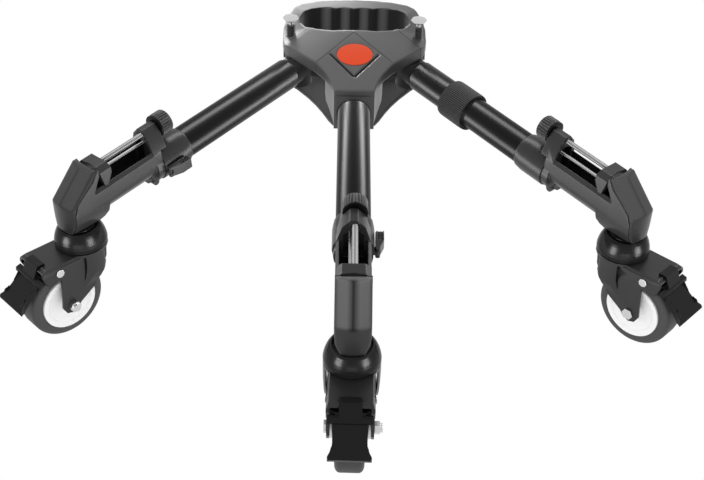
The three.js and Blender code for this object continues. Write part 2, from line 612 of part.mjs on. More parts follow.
function brakePedal() {
  const foot = common(prism(PEDAL_SECTION, 'y', -FORK_R, FORK_R),
    prism(widthPlan(PEDAL_PLAN), 'z', 0, HUB_CEILING));
  const skirts = [1, -1].map((sign) => {
    const [low, high] = sign > 0 ? [PEDAL_ARM_HALF - PEDAL_ARM, PEDAL_ARM_HALF]
      : [-PEDAL_ARM_HALF, PEDAL_ARM - PEDAL_ARM_HALF];
    return prism(PEDAL_ARM_OUTLINE, 'y', low, high);
  });
  const plan = PEDAL_PLAN.map(([u, w], i) => [u, i < 3 ? PEDAL_ARM_HALF : w - GAP]);
  const trimmed = common(unite(...skirts), prism(widthPlan(plan), 'z', 0, HUB_CEILING));
  const tab = prism(TAB_OUTLINE, 'y', -TAB_HALF, TAB_HALF);
  const bar = prism(BAR_OUTLINE, 'y', -BAR_HALF, BAR_HALF);
  const bore = cylinder(boreRadius(BRAKE_PIN_R), 'y', -FORK_R, FORK_R, [BRAKE_U, BRAKE_Z], SMALL_ROUND);
  return cut(unite(foot, trimmed, tab, bar), bore);
}

// Hub pieces

function sideFrame(sign) {
  const out = new THREE.Vector2(Math.sin(rad(SPREAD)), -Math.cos(rad(SPREAD)));
  const pivot = out.clone().multiplyScalar(PIVOT_REACH);
  return { pivot: [sign * pivot.x, pivot.y], out: [sign * out.x, out.y] };
}

function sweepCavity(sign, low, high) {
  const { pivot, out } = sideFrame(sign);
  const back = [pivot[0] - sign * out[1] * LEG_SWEEP_HALF, pivot[1] + sign * out[0] * LEG_SWEEP_HALF];
  const far = REACH_SIDE / 2;
  const wedge = [back, [back[0] + out[0] * far, back[1] + out[1] * far], [back[0] + out[0] * far, -2 * far],
    [pivot[0] - sign * LEG_SWEEP_HALF, -2 * far], [pivot[0] - sign * LEG_SWEEP_HALF, pivot[1]]];
  return unite(cylinder(SWEEP_R, 'z', low, high, pivot), prism(wedge, 'z', low, high));
}

function facets(lower = 0) {
  return (piece) => {
    const [x, y, z] = PIN_FACET.at;
    const corner = { at: [x, CORNER_Y, z + PIN_FACET.rise[1] * (CORNER_Y - y)],
      rise: [PIN_FACET.rise[0], CORNER_RISE] };
    const shape = (body, plane) => under(plane, -1, lower)(under(plane, 1, lower)(body));
    const whole = [FRONT_FACET, SIDE_FACET, REAR_FACET].reduce(shape, piece);
    const ahead = whole.trimByPlane([0, -1, 0], -CORNER_Y);
    const behind = whole.trimByPlane([0, 1, 0], CORNER_Y);
    return behind.isEmpty() ? shape(ahead, PIN_FACET) : unite(shape(ahead, PIN_FACET), shape(behind, corner));
  };
}

function onFrontFacet(x, y) {
  const [, y0, z0] = FRONT_FACET.at;
  return new THREE.Vector3(x, y, z0 + FRONT_FACET.rise[1] * (y - y0));
}

function facetMatrix(x, y) {
  const tilt = Math.atan(FRONT_FACET.rise[1]);
  return new THREE.Matrix4().makeRotationX(tilt).setPosition(onFrontFacet(x, y));
}

function vGroove() {
  const [x, y] = GROOVE_SIDE;
  const reach = Math.hypot(x, GROOVE_TIP[1] - y);
  return [1, -1].map((sign) => {
    const bar = box([0, reach + GROOVE_HALF], [-GROOVE_HALF, GROOVE_HALF], [-GROOVE_DEPTH, GROOVE_DEPTH]);
    const turn = new THREE.Matrix4().makeRotationZ(Math.atan2(y - GROOVE_TIP[1], sign * x));
    return moved(bar, facetMatrix(...GROOVE_TIP).multiply(turn));
  });
}

function handleHole() {
  const rear = [];
  for (let i = 0; i <= 6 * SCALLOPS; i += 1) {
    const share = i / (6 * SCALLOPS);
    const x = SCALLOP_HALF * (1 - 2 * share);
    const wave = Math.abs(Math.sin(Math.PI * SCALLOPS * share));
    rear.push([x, GRIP_INSIDE + SCALLOP_DEPTH * (wave - 1 / 2)]);
  }
  const side = HOLE_OUTLINE.slice(1);
  const outline = [HOLE_OUTLINE[0], ...side, ...rear, ...side.map(([x, y]) => [-x, y]).reverse()];
  return prism(outline, 'z', 0, HUB_CEILING);
}

function hubTop(front) {
  const whole = facets()(prism(mirrored(TOP_OUTLINE), 'z', HANDLE_FLOOR, HUB_CEILING));
  const below = box([-REACH_SIDE, REACH_SIDE], [-REACH_SIDE, HANDLE_START], [0, TOP_PLATE_FLOOR]);
  const [inX, inY] = [BLOCK_OUTLINE[4][0] + ROOT_R, HANDLE_START - PIN_HEAD_R];
  const pocketPlan = [[12, HUB_FRONT + 3 * SKIN], [inX - 2 * SKIN, -114], [inX, -96], [inX - 2 * SKIN, inY],
    [0, inY]];
  const pocket = facets(SKIN)(prism(mirrored(pocketPlan), 'z', 0, HUB_CEILING));
  const cavities = [1, -1].map((sign) => sweepCavity(sign, 0, TOP_PLATE_FLOOR));
  const block = prism(mirrored(BLOCK_OUTLINE), 'z', BASE_FLOOR + BASE_PLATE + GAP, TOP_PLATE_FLOOR + GAP);
  const socket = moved(cylinder(TUBE_R + GAP, 'x', -front.tubeIn - GAP, 0), railMatrix(front));
  const badgeSeat = moved(cylinder(BADGE_R + GAP, 'z', BADGE_RAISED - BADGE_THICK - GAP, BADGE_THICK),
    facetMatrix(0, BADGE_Y));
  const bolts = [1, -1].map((sign) => cylinder(PIVOT_R + GAP, 'z', 0, PIVOT_TOP
    + GAP, sideFrame(sign).pivot, SMALL_ROUND));
  const pins = [1, -1].map((sign) => cylinder(PIN_COLLAR_R - PIN_COLLAR_RING
    + GAP, 'z', 0, HUB_CEILING, [sign * PIN_X, PIN_Y], SMALL_ROUND));
  const shell = cut(whole, below, pocket, ...cavities);
  return cut(unite(shell, block), socket, badgeSeat, ...vGroove(), handleHole(), ...bolts, ...pins);
}

function hubBase() {
  const plate = prism(mirrored(BASE_OUTLINE), 'z', BASE_FLOOR, BASE_FLOOR + BASE_PLATE);
  const [half, y] = [BASE_OUTLINE[9][0], BASE_OUTLINE[10][1]];
  const wall = box([-half, half], [y - STOP_WALL, y], [BASE_FLOOR, HANDLE_FLOOR - GAP]);
  const bolts = [1, -1].map((sign) => cylinder(PIVOT_R + GAP, 'z', 0, TOP_PLATE_FLOOR,
    sideFrame(sign).pivot, SMALL_ROUND));
  return cut(unite(plate, wall), ...bolts, handleHole());
}

function badge() {
  return moved(cylinder(BADGE_R, 'z', BADGE_RAISED - BADGE_THICK, BADGE_RAISED), facetMatrix(0, BADGE_Y));
}

function pivotBolt(sign) {
  const { pivot } = sideFrame(sign);
  const shank = cylinder(PIVOT_R, 'z', BASE_FLOOR - PIVOT_HEAD, PIVOT_TOP, pivot, SMALL_ROUND);
  const head = cylinder(PIVOT_HEAD_R, 'z', BASE_FLOOR - GAP - PIVOT_HEAD, BASE_FLOOR - GAP, pivot, 6);
  return unite(shank, head);
}

// A band round the leg's pivot, from the pull pin's place in the open leg to its place in the folded one
function pinBand(sign, halfWidth, low, high) {
  const { pivot } = sideFrame(sign);
  const arm = new THREE.Vector2(sign * PIN_X - pivot[0], PIN_Y - pivot[1]);
  const [start, radius] = [arm.angle(), arm.length()];
  const ends = [0, SPREAD].map((turn) => start + sign * rad(turn));
  const at = (angle, r) => [pivot[0] + r * Math.cos(angle), pivot[1] + r * Math.sin(angle)];
  const steps = Math.round(ROUND / 4);
  const [inner, outer] = [[], []];
  for (let i = 0; i <= steps; i += 1) {
    const angle = ends[0] + ((ends[1] - ends[0]) * i) / steps;
    inner.push(at(angle, radius - halfWidth));
    outer.push(at(angle, radius + halfWidth));
  }
  const ring = prism([...inner, ...outer.reverse()], 'z', low, high);
  return unite(ring, ...ends.map((angle) => cylinder(halfWidth, 'z', low, high, at(angle, radius),
    SMALL_ROUND)));
}

function legRoot(leg, sign) {
  const { pivot } = sideFrame(sign);
  const level = unite(cylinder(ROOT_R, 'z', ROOT_FLOOR, ROOT_TOP, pivot),
    pinBand(sign, PIN_LOBE_R, ROOT_FLOOR, ROOT_TOP));
  const start = leg.reach - ROOT_END;
  const neck = cylinder(NECK_R, 'x', PIVOT_REACH - leg.reach, -start);
  const spigot = cylinder(TUBE_R - TUBE_WALL - GAP, 'x', -start - GAP, -start + ROOT_SPIGOT);
  const bore = cylinder(boreRadius(PIVOT_R), 'z', 0, HUB_CEILING, pivot, SMALL_ROUND);
  return cut(unite(level, moved(unite(neck, spigot), railMatrix(leg))), bore,
    pinBand(sign, PIN_STEM_R + GAP, ROOT_TOP - PIN_DEPTH - GAP, HUB_CEILING));
}

// The height of the hub's face at the lowest point of a pin collar
function pinSeat() {
  const [x, y, z] = PIN_FACET.at;
  return z + PIN_FACET.rise[0] * (PIN_X + PIN_COLLAR_R - x) + PIN_FACET.rise[1] * (PIN_Y - PIN_COLLAR_R - y);
}

function pullPin(sign) {
  const tip = ROOT_TOP - PIN_DEPTH;
  const crown = pinSeat() + PIN_COLLAR_RISE + PIN_RISE;
  const top = crown - PIN_HEAD_RIM;
  const profile = [[0, tip], [PIN_STEM_R, tip], [PIN_STEM_R, top - PIN_HEAD_CONE],
    [PIN_STEM_R * 2, top - PIN_HEAD_CONE / 2], [PIN_HEAD_R, top], [PIN_HEAD_R - GAP, crown - GAP],
    [PIN_HEAD_R / 2, crown + GAP], [0, crown + 2 * GAP]];
  return turned(profile, SMALL_ROUND).translate([sign * PIN_X, PIN_Y, 0]);
}

function pinCollar(sign) {
  const [bore, thread] = [PIN_STEM_R + RUN, PIN_COLLAR_R - PIN_COLLAR_RING];
  const seat = pinSeat();
  const foot = seat - PIN_COLLAR_SUNK;
  const crown = seat + PIN_COLLAR_RISE;
  const profile = [[bore, foot], [thread, foot], [thread, seat + 2 * GAP]];
  const pitch = PIN_COLLAR_RISE / PIN_COLLAR_RINGS;
  for (let i = 0; i < PIN_COLLAR_RINGS; i += 1) {
    const z = seat + i * pitch;
    profile.push([thread, z + 2 * GAP], [PIN_COLLAR_R, z + 3 * GAP], [PIN_COLLAR_R, z + pitch - GAP],
      [thread, z + pitch]);
  }
  const unique = profile.filter(([r, z], i) => !i || r !== profile[i - 1][0] || z !== profile[i - 1][1]);
  const centre = [sign * PIN_X, PIN_Y];
  const ring = turned([...unique, [bore, crown]], SMALL_ROUND).translate([...centre, 0]);
  const shell = facets()(box([-REACH_SIDE, REACH_SIDE], [-REACH_SIDE, REACH_SIDE],
    [TOP_PLATE_FLOOR, HUB_CEILING]));
  return cut(ring, shell.subtract(cylinder(thread + GAP / 3, 'z', 0, HUB_CEILING, centre, SMALL_ROUND)));
}

// A flat strip wound round the tube, with its free end on top
function strap() {
  const [inside, outside] = [[], []];
  const steps = STRAP_STEPS * STRAP_TURNS;
  for (let i = 0; i <= steps; i += 1) {
    const angle = rad(STRAP_START) + (2 * Math.PI * i) / STRAP_STEPS;
    const r = TUBE_R + GAP + ((STRAP_THICK + GAP) * i) / STRAP_STEPS;
    inside.push([r * Math.cos(angle), r * Math.sin(angle)]);
    outside.push([(r + STRAP_THICK) * Math.cos(angle), (r + STRAP_THICK) * Math.sin(angle)]);
  }
  const from = -STRAP_MIDDLE - STRAP_WIDTH / 2;
  return prism([...inside, ...outside.reverse()], 'x', from, from + STRAP_WIDTH);
}

const group = new THREE.Group();

function add(name, piece, matrix) {
  const mesh = new THREE.Mesh(toGeometry(matrix ? moved(piece, matrix) : piece));
  mesh.name = name;
  group.add(mesh);
}

function addLeg(leg) {
  const [rails, caster] = [railMatrix(leg), casterMatrix(leg)];
  add(`outer_tube_${leg.name}`, tube(TUBE_R, TUBE_WALL, TUBE_END, leg.tubeIn), rails);
  add(`inner_tube_${leg.name}`, tube(INNER_R, INNER_WALL, COLLAR_FACE, COLLAR_FACE + INNER_LENGTH), rails);
  add(`collar_${leg.name}`, collar(), rails);
  add(`lever_${leg.name}`, lever(), rails);
  add(`carrier_${leg.name}`, carrier(leg));
  add(`head_cover_${leg.name}`, headCover(leg));
  add(`jaw_${leg.name}`, jaw(), rails);
  add(`guide_rod_${leg.name}`, guideRod(), rails);
  add(`clamp_screw_${leg.name}`, clampScrew(), rails);
  add(`swivel_cap_${leg.name}`, swivelCap(), caster);
  add(`fork_${leg.name}`, fork(), caster);
  add(`axle_${leg.name}`, axleBolt(), caster);
  add(`wheel_${leg.name}`, wheelCore(), caster);
  add(`tyre_${leg.name}`, tyre(), caster);
  add(`brake_pin_${leg.name}`, brakePin(), caster);
  add(`brake_pedal_${leg.name}`, brakePedal(), caster);
}

const sideTubeIn = REACH_SIDE - ROOT_END - ROOT_LIP;
const front = { name: 'front', angle: 0, reach: REACH_FRONT, swivel: SWIVEL_FRONT,
  tubeIn: REACH_FRONT - SOCKET_END };
const left = { name: 'left', angle: -SPREAD, reach: REACH_SIDE, swivel: -SWIVEL_SIDE, tubeIn: sideTubeIn };
const right = { name: 'right', angle: SPREAD, reach: REACH_SIDE, swivel: SWIVEL_SIDE, tubeIn: sideTubeIn };

add('hub_base', hubBase());
add('hub_top', hubTop(front));
add('badge', badge());
for (const [side, sign, leg] of [['left', -1, left], ['right', 1, right]]) {
  add(`pull_pin_${side}`, pullPin(sign));
  add(`pin_collar_${side}`, pinCollar(sign));
  add(`pivot_bolt_${side}`, pivotBolt(sign));
  add(`leg_root_${side}`, legRoot(leg, sign));
}
for (const leg of [front, left, right]) addLeg(leg);
add('strap', strap(), railMatrix(right));

// The origin is under the middle of the whole, on the floor
const bounds = new THREE.Box3().setFromObject(group);
const middle = bounds.getCenter(new THREE.Vector3());
for (const mesh of group.children) mesh.geometry.translate(-middle.x, -middle.y, -bounds.min.z);

export default group;
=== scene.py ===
"""A tripod dolly on a white floor: materials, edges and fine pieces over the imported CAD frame."""

import json
import math
from collections import namedtuple

import bpy
from mathutils import Matrix, Vector

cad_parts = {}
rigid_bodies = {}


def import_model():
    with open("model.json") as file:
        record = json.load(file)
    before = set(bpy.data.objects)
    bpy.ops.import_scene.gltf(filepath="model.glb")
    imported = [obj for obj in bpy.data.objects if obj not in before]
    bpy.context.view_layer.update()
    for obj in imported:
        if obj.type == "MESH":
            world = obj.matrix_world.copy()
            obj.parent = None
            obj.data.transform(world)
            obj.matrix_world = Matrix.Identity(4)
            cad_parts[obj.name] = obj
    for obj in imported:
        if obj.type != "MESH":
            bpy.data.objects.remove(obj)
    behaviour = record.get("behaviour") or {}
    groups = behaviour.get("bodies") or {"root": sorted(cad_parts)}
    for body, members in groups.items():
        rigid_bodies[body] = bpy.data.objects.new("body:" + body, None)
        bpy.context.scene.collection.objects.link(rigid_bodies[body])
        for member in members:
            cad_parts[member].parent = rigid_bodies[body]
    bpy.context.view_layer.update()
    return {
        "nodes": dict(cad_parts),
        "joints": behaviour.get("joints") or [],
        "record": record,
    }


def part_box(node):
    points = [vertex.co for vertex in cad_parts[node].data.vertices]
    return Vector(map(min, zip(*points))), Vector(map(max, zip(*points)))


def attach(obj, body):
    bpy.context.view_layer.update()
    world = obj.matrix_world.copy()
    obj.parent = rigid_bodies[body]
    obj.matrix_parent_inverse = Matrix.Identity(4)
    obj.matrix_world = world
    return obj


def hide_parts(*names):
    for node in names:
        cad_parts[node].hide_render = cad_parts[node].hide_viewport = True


LEGS = ("front", "left", "right")
SIDES = ("left", "right")
UP = (0, 0, 1)

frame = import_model()
JOINTS = {joint["name"]: joint for joint in frame["joints"]}


def middle(node):
    low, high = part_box(node)
    return (low + high) / 2


def family(node):
    """The name of a node without its leg or side."""
    parts = node.rsplit("_", 1)
    return parts[0] if len(parts) > 1 and parts[1] in LEGS else node


# Shader nodes

def feed(links, values, sockets):
    """Links each socket to another node's output, or sets it to a plain value."""
    for value, socket in zip(values, sockets):
        if isinstance(value, bpy.types.NodeSocket):
            links.new(value, socket)
        else:
            socket.default_value = value


def feeder(socket):
    """What a socket gets now: another node's output, or its own value."""
    return socket.links[0].from_socket if socket.links else socket.default_value


def maths(nodes, links, operation, *values):
    node = nodes.new("ShaderNodeMath")
    node.operation = operation
    feed(links, values, node.inputs)
    return node.outputs[0]


def vector_maths(nodes, links, operation, *values):
    node = nodes.new("ShaderNodeVectorMath")
    node.operation = operation
    feed(links, values, (node.inputs[0], node.inputs["Scale"]) if operation == "SCALE" else node.inputs)
    return node.outputs["Value" if operation in ("DISTANCE", "DOT_PRODUCT") else "Vector"]


def colour_mix(nodes, links, share, first, second, blend="MIX"):
    node = nodes.new("ShaderNodeMix")
    node.data_type = "RGBA"
    node.blend_type = blend
    feed(links, (share, first, second), (node.inputs["Factor"], node.inputs["A"], node.inputs["B"]))
    return node.outputs["Result"]


def seen_or_lit(nodes, links, seen, lit):
    """A shader that the camera and reflections see as one thing and that lights the object as another."""
    path = nodes.new("ShaderNodeLightPath")
    either = path.outputs["Is Camera Ray"]
    for other in ("Is Glossy Ray", "Is Transmission Ray"):
        either = maths(nodes, links, "MAXIMUM", either, path.outputs[other])
    mix = nodes.new("ShaderNodeMixShader")
    feed(links, (either, lit, seen), mix.inputs)
    return mix.outputs[0]


# The camera of the photograph, in the row frame before the shift that centres the whole

FOCAL_PIXELS = 1200
WIDTH, HEIGHT = 704, 480
SENSOR_MM = 36
CAMERA_PLACE = (-0.01074, -1.18314, 0.76031)
CAMERA_ELEVATION = math.radians(37.02)
CAMERA_YAW = math.radians(0.66)
CAMERA_ROLL = math.radians(1.32)
REACH_FRONT = 0.4537    # from the spread centre, where the camera was measured, to the front swivel axis


def make_camera():
    level = Vector((math.sin(CAMERA_YAW), math.cos(CAMERA_YAW), 0))
    forward = math.cos(CAMERA_ELEVATION) * level - math.sin(CAMERA_ELEVATION) * Vector(UP)
    right = forward.cross(Vector(UP)).normalized()
    up = right.cross(forward)
    rolled_right = math.cos(CAMERA_ROLL) * right + math.sin(CAMERA_ROLL) * up
    rolled_up = math.cos(CAMERA_ROLL) * up - math.sin(CAMERA_ROLL) * right
    data = bpy.data.cameras.new("camera")
    data.sensor_width = SENSOR_MM
    data.lens = FOCAL_PIXELS * SENSOR_MM / WIDTH
    camera = bpy.data.objects.new("camera", data)
    bpy.context.scene.collection.objects.link(camera)
    shift = Vector((0, middle("swivel_cap_front").y + REACH_FRONT, 0))
    turn = Matrix((rolled_right, rolled_up, -forward)).transposed().to_4x4()
    camera.matrix_world = Matrix.Translation(Vector(CAMERA_PLACE) + shift) @ turn
    bpy.context.scene.camera = camera
    bpy.context.scene.render.resolution_x = WIDTH
    bpy.context.scene.render.resolution_y = HEIGHT


def towards_camera(place):
    return (bpy.context.scene.camera.matrix_world.translation - Vector(place)).normalized()


# The white studio and its floor

BACKGROUND = (1, 1, 1, 1)
STUDIO_LIGHT = 0.78
STUDIO_LEAN = (-0.10, -0.06, 0.30)      # the studio is brighter towards this direction
FLOOR_SIZE, FLOOR_DROP = 12, 0.0005


def make_world():
    """White to the camera, and for the object a soft studio that is brightest above."""
    world = bpy.data.worlds.new("world")
    world.use_nodes = True
    nodes, links = world.node_tree.nodes, world.node_tree.links
    nodes.clear()
    out = nodes.new("ShaderNodeOutputWorld")
    seen = nodes.new("ShaderNodeBackground")
    seen.inputs["Color"].default_value = BACKGROUND
    place = nodes.new("ShaderNodeTexCoord")
    lean = vector_maths(nodes, links, "DOT_PRODUCT", place.outputs["Generated"], STUDIO_LEAN)
    lit = nodes.new("ShaderNodeBackground")
    links.new(maths(nodes, links, "ADD", lean, STUDIO_LIGHT), lit.inputs["Strength"])
    links.new(seen_or_lit(nodes, links, seen.outputs[0], lit.outputs[0]), out.inputs["Surface"])
    bpy.context.scene.world = world


def make_floor():
    """A white floor that casts no shadow and lets the studio's light through from below."""
    bpy.ops.mesh.primitive_plane_add(size=FLOOR_SIZE, location=(0, 0, -FLOOR_DROP))
    floor = bpy.context.object
    floor.name = "floor"
    material = bpy.data.materials.new("floor")
    material.use_nodes = True
    nodes, links = material.node_tree.nodes, material.node_tree.links
    nodes.clear()
    out = nodes.new("ShaderNodeOutputMaterial")
    seen = nodes.new("ShaderNodeEmission")
    seen.inputs["Color"].default_value = BACKGROUND
    lit = nodes.new("ShaderNodeBsdfTransparent")
    links.new(seen_or_lit(nodes, links, seen.outputs[0], lit.outputs[0]), out.inputs["Surface"])
    floor.data.materials.append(material)


# Lamps: each falls only on its own pieces, so that it gives them a sheen where the photograph has one

BOX_DISTANCE = 1.2
STRIP_DISTANCE = 0.30
STRIP_SIZE = (0.14, 2.4)
STRIP_TURN = math.radians(62)   # from the side of a tube that faces the camera to its lamps
STRIP_POWER = {"gloss": 27, "satin": 6.5, "plain": 1.5}
STRIP_SHARE = {"front": 1.0, "left": 1.36, "right": 1.3}
COVER_TURN = math.radians(26)
COVER_POWER = {"front": 5.0, "left": 0.5, "right": 2.8}
FINISH_OF = {               # the other kinds of piece are plain
    "outer_tube": "gloss", "inner_tube": "gloss", "tube_fine": "gloss", "collar": "satin", "lever": "satin",
    "carrier": "satin", "jaw": "satin", "screw_knob": "satin", "screw_bush": "satin",
}
UNLIT = ("leg_root", "pin_collar", "pivot_bolt", "pull_pin", "hub_rib")

FORK_PIECES = ("fork", "brake_pin", "axle")
CASTER_BOXES = (            # kinds of piece, direction, size, power
    (("cap_fine",), (-0.84, -0.62, 0.10), (0.6, 0.5), 34),
    (("cap_fine",), (0.84, -0.62, 0.10), (0.6, 0.5), 34),
    (("cap_fine",), (0, -0.8, -0.05), (0.9, 0.10), 3),
    (FORK_PIECES, (-1.0, 0.3, 0.12), (0.3, 0.5), 14),
    (FORK_PIECES, (1.0, 0.3, 0.12), (0.3, 0.5), 14),
)
HUB_PIECES = ("hub_top", "hub_base", "leg_root_left", "leg_root_right")
HUB_BOXES = (               # direction, size, power
    ((-0.34, 0.92, 0.22), (0.9, 0.22), 8.5),
    ((-0.55, -0.62, 0.60), (0.6, 0.5), 14.0),
)


def group_of(name, pieces):
    """A collection for linking lamps to pieces."""
    group = bpy.data.collections.new(name)
    for piece in pieces:
        group.objects.link(piece)
    return group


def area_lamp(name, aim, direction, along, size, power, group, distance=BOX_DISTANCE):
    """A rectangular lamp that faces a place from a direction, with its length along a given line."""
    data = bpy.data.lights.new(name, "AREA")
    data.shape = "RECTANGLE"
    data.size, data.size_y = size
    data.energy = power
    lamp = bpy.data.objects.new(name, data)
    bpy.context.scene.collection.objects.link(lamp)
    z = Vector(direction).normalized()
    y = (Vector(along) - z * z.dot(Vector(along))).normalized()
    turn = Matrix((y.cross(z), y, z)).transposed().to_4x4()
    lamp.matrix_world = Matrix.Translation(Vector(aim) + z * distance) @ turn
    lamp.visible_camera = False
    lamp.light_linking.receiver_collection = group
    lamp.light_linking.blocker_collection = group


def light_leg(leg):
    """Long lamps beside a leg, which show as the two bright lines along its tube."""
    pieces_of = {finish: [] for finish in STRIP_POWER}
    for piece in bpy.context.scene.objects:
        kind = family(piece.name)
        if piece.type == "MESH" and piece.name == f"{kind}_{leg}" and kind not in UNLIT:
            pieces_of[FINISH_OF.get(kind, "plain")].append(piece)
    cover = group_of(f"cover of the {leg} leg", [bpy.context.scene.objects[f"head_cover_{leg}"]])
    strips = [("cover", cover, COVER_TURN, COVER_POWER[leg])]
    for finish, pieces in pieces_of.items():
        group = group_of(f"{finish} pieces of the {leg} leg", pieces)
        strips.append((finish, group, STRIP_TURN, STRIP_POWER[finish] * STRIP_SHARE[leg]))
    aim = middle(f"outer_tube_{leg}")
    along = Vector(JOINTS[f"extend_{leg}"]["axis"]).normalized()
    view = towards_camera(aim)
    straight = view.dot(along)
    across = view - along * straight
    up = across.normalized()
    side = along.cross(up)
    place = aim - along * STRIP_DISTANCE * straight / across.length
    for sign in (-1, 1):
        for name, group, turn, power in strips:
            direction = math.cos(turn) * up + sign * math.sin(turn) * side
            area_lamp(f"{name} strip {leg} {sign}", place, direction, along, STRIP_SIZE, power, group,
                      STRIP_DISTANCE)


def light_caster(leg):
    """Soft boxes round a caster, which show on its dome and on the glancing sides of its fork."""
    for i, (kinds, direction, size, power) in enumerate(CASTER_BOXES):
        pieces = [bpy.context.scene.objects[f"{kind}_{leg}"] for kind in kinds]
        group = group_of(f"caster pieces {leg} {i}", pieces)
        area_lamp(f"caster box {leg} {i}", middle(f"fork_{leg}"), direction, (0, 1, 0), size, power, group)


def light_hub():
    """Soft boxes behind and before the hub, which give its faces and rounded edges their sheen."""
    pieces = [bpy.context.scene.objects[name] for name in HUB_PIECES]
    group = group_of("hub pieces", pieces)
    for i, (direction, size, power) in enumerate(HUB_BOXES):
        area_lamp(f"hub box {i}", middle("hub_top"), direction, UP, size, power, group)
    for piece in pieces:
        piece.visible_glossy = False    # the bright lines of the tubes run up to the hub


# Materials

Grain = namedtuple("Grain", "scale bump roughness_spread colour_spread")
MOULDED = Grain(1500, 0.06, 0.04, 0.04)
FINE_MOULDED = Grain(1500, 0.05, 0.04, 0.04)
EVEN_MOULDED = Grain(1500, 0.06, 0.04, 0)
PRESSED = Grain(2000, 0.05, 0.04, 0)
LACQUERED = Grain(2500, 0.03, 0.03, 0)
POLISHED = Grain(2500, 0.008, 0.01, 0)
PRINTED = Grain(1200, 0.02, 0.02, 0)
PLATED = Grain(900, 0.05, 0.05, 0)
WHEEL_GRAIN = Grain(1200, 0.03, 0.04, 0)
RUBBER = Grain(1800, 0.15, 0.05, 0.06)

GRAIN_DETAIL = 4
GRAIN_DEPTH = 0.0004
CLOUD_SHARE = 1 / 30        # scale of the slow change in roughness and colour, as a share of the grain's
LEAST_ROUGHNESS = 0.02
SOFT_EDGE_SAMPLES = 8


def grey(level):
    """The linear colour of an sRGB grey from 0 to 255."""
    share = level / 255
    linear = share / 12.92 if share <= 0.04045 else ((share + 0.055) / 1.055) ** 2.4
    return (linear, linear, linear)


Finish = namedtuple("Finish", "colour roughness metallic specular grain soft_edge")
FINISHES = {
    "base_plastic": Finish(grey(40), 0.45, 0, 0.30, MOULDED, 0.0025),
    # the hub's cover: its joint lines are darkened, and its grip hole's walls get painted shade
    "hub_scored": Finish(grey(54), 0.38, 0, 0.50, MOULDED, 0.0030),
    "leg_plastic": Finish(grey(30), 0.30, 0, 0.22, FINE_MOULDED, 0.0012),
    "cover_plastic": Finish(grey(36), 0.30, 0, 0.26, FINE_MOULDED, 0.0040),
    "tube_black": Finish(grey(3), 0.30, 0, 0.06, POLISHED, 0),
    "badge_orange": Finish((0.93, 0.085, 0.022), 0.40, 0, 0.15, PRINTED, 0),
    "steel": Finish(grey(200), 0.22, 1, 0.50, PLATED, 0),
    "rod_steel": Finish(grey(150), 0.26, 1, 0.50, PLATED, 0),
    # painted shade: the leg roots are darker than the hub's plastic, standing in for the shade of the
    # recess they sit in
    "root_black": Finish(grey(26), 0.45, 0, 0.20, EVEN_MOULDED, 0.0015),
    "ring_black": Finish(grey(30), 0.28, 0, 0.50, LACQUERED, 0.0006),
    "fork_black": Finish(grey(24), 0.36, 0, 0.36, LACQUERED, 0.0008),
    "cap_black": Finish(grey(10), 0.25, 0, 0.09, LACQUERED, 0),
    "pedal_black": Finish(grey(12), 0.34, 0, 0.16, PRESSED, 0.0010),
    "wheel_white": Finish(grey(238), 0.35, 0, 0.50, WHEEL_GRAIN, 0),
    "tyre_grey": Finish(grey(52), 0.60, 0, 0.50, RUBBER, 0),
    "strap_fabric": Finish(grey(60), 0.90, 0, 0.20, None, 0),
}


def principled(name, finish):
    material = bpy.data.materials.new(name)
    material.use_nodes = True
    shader = material.node_tree.nodes["Principled BSDF"]
    shader.inputs["Base Color"].default_value = (*finish.colour, 1)
    shader.inputs["Roughness"].default_value = finish.roughness
    shader.inputs["Metallic"].default_value = finish.metallic
    shader.inputs["Specular IOR Level"].default_value = finish.specular
    return material


def grained(material, finish):
    """Adds a fine grain and soft edges, and lets roughness and colour vary a little."""
    nodes, links = material.node_tree.nodes, material.node_tree.links
    shader = nodes["Principled BSDF"]
    grain = finish.grain
    place = nodes.new("ShaderNodeTexCoord")
    noise = nodes.new("ShaderNodeTexNoise")
    noise.inputs["Scale"].default_value = grain.scale
    noise.inputs["Detail"].default_value = GRAIN_DETAIL
    links.new(place.outputs["Object"], noise.inputs["Vector"])
    relief = nodes.new("ShaderNodeBump")
    relief.inputs["Strength"].default_value = grain.bump
    relief.inputs["Distance"].default_value = GRAIN_DEPTH
    links.new(noise.outputs["Fac"], relief.inputs["Height"])
    links.new(relief.outputs["Normal"], shader.inputs["Normal"])
    if finish.soft_edge:
        soft = nodes.new("ShaderNodeBevel")
        soft.samples = SOFT_EDGE_SAMPLES
        soft.inputs["Radius"].default_value = finish.soft_edge
        links.new(soft.outputs["Normal"], relief.inputs["Normal"])
    cloud = nodes.new("ShaderNodeTexNoise")
    cloud.inputs["Scale"].default_value = grain.scale * CLOUD_SHARE
    links.new(place.outputs["Object"], cloud.inputs["Vector"])
    level = nodes.new("ShaderNodeMapRange")
    level.inputs["To Min"].default_value = max(finish.roughness - grain.roughness_spread, LEAST_ROUGHNESS)
    level.inputs["To Max"].default_value = finish.roughness + grain.roughness_spread
    links.new(cloud.outputs["Fac"], level.inputs["Value"])
    links.new(level.outputs["Result"], shader.inputs["Roughness"])
    if grain.colour_spread:
        darker = (*(c * (1 - grain.colour_spread) for c in finish.colour), 1)
        lighter = (*(c * (1 + grain.colour_spread) for c in finish.colour), 1)
        mixed = colour_mix(nodes, links, cloud.outputs["Fac"], darker, lighter)
        links.new(mixed, shader.inputs["Base Color"])
    return material
